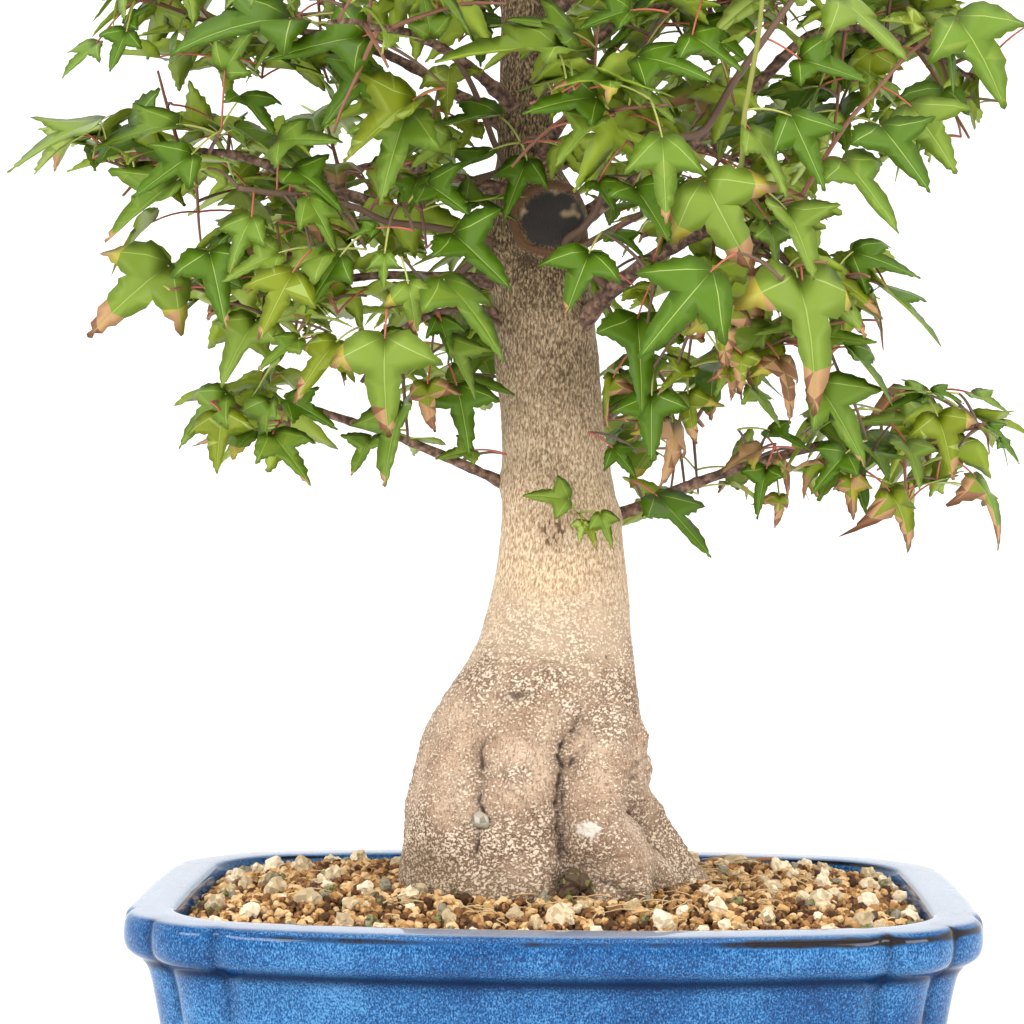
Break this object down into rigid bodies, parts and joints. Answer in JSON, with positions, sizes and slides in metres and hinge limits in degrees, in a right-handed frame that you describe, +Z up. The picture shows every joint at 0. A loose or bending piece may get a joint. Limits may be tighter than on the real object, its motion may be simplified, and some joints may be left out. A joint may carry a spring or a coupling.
{
  "type": "potted trident maple bonsai",
  "caption": "Potted maple bonsai: thick tapering trunk with flared roots, side boughs and masses of lobed leaves, in gritty soil in a low rectangular glazed pot with reeded corners.",
  "frame": {"origin": "on the surface that the pot's feet stand on, under the middle of the pot", "axes": "+Z up along the trunk, +X along the pot's long side to the right, -Y towards the front of the tree"},
  "size_m": [0.3916, 0.2713, 0.5268],
  "materials": {
    "glaze": "gloss",
    "soil": "matte",
    "bark": "matte",
    "foliage": "satin"
  },
  "bodies": {
    "root": {"pot": "glaze", "soil": "soil", "trunk": "bark", "right_low_bough": "bark", "left_low_bough": "bark", "right_behind_bough": "bark", "right_main_bough": "bark", "left_mid_bough": "bark", "back_low_bough": "bark", "left_under_bough": "bark", "left_main_bough": "bark", "right_upper_bough": "bark", "back_left_bough": "bark", "left_inner_bough": "bark", "front_mid_bough": "bark", "back_right_bough": "bark", "left_upper_bough": "bark", "front_left_bough": "bark", "right_inner_bough": "bark", "top_right_bough": "bark", "top_left_bough": "bark", "top_back_bough": "bark", "top_front_bough": "bark", "right_low_leaves": "foliage", "left_low_leaves": "foliage", "right_behind_leaves": "foliage", "right_main_leaves": "foliage", "left_mid_leaves": "foliage", "back_low_leaves": "foliage", "left_under_leaves": "foliage", "left_main_leaves": "foliage", "right_upper_leaves": "foliage", "back_left_leaves": "foliage", "left_inner_leaves": "foliage", "front_mid_leaves": "foliage", "back_right_leaves": "foliage", "left_upper_leaves": "foliage", "front_left_leaves": "foliage", "right_inner_leaves": "foliage", "top_right_leaves": "foliage", "top_left_leaves": "foliage", "top_back_leaves": "foliage", "top_front_leaves": "foliage", "apex_leaves": "foliage"}
  },
  "joints": []
}
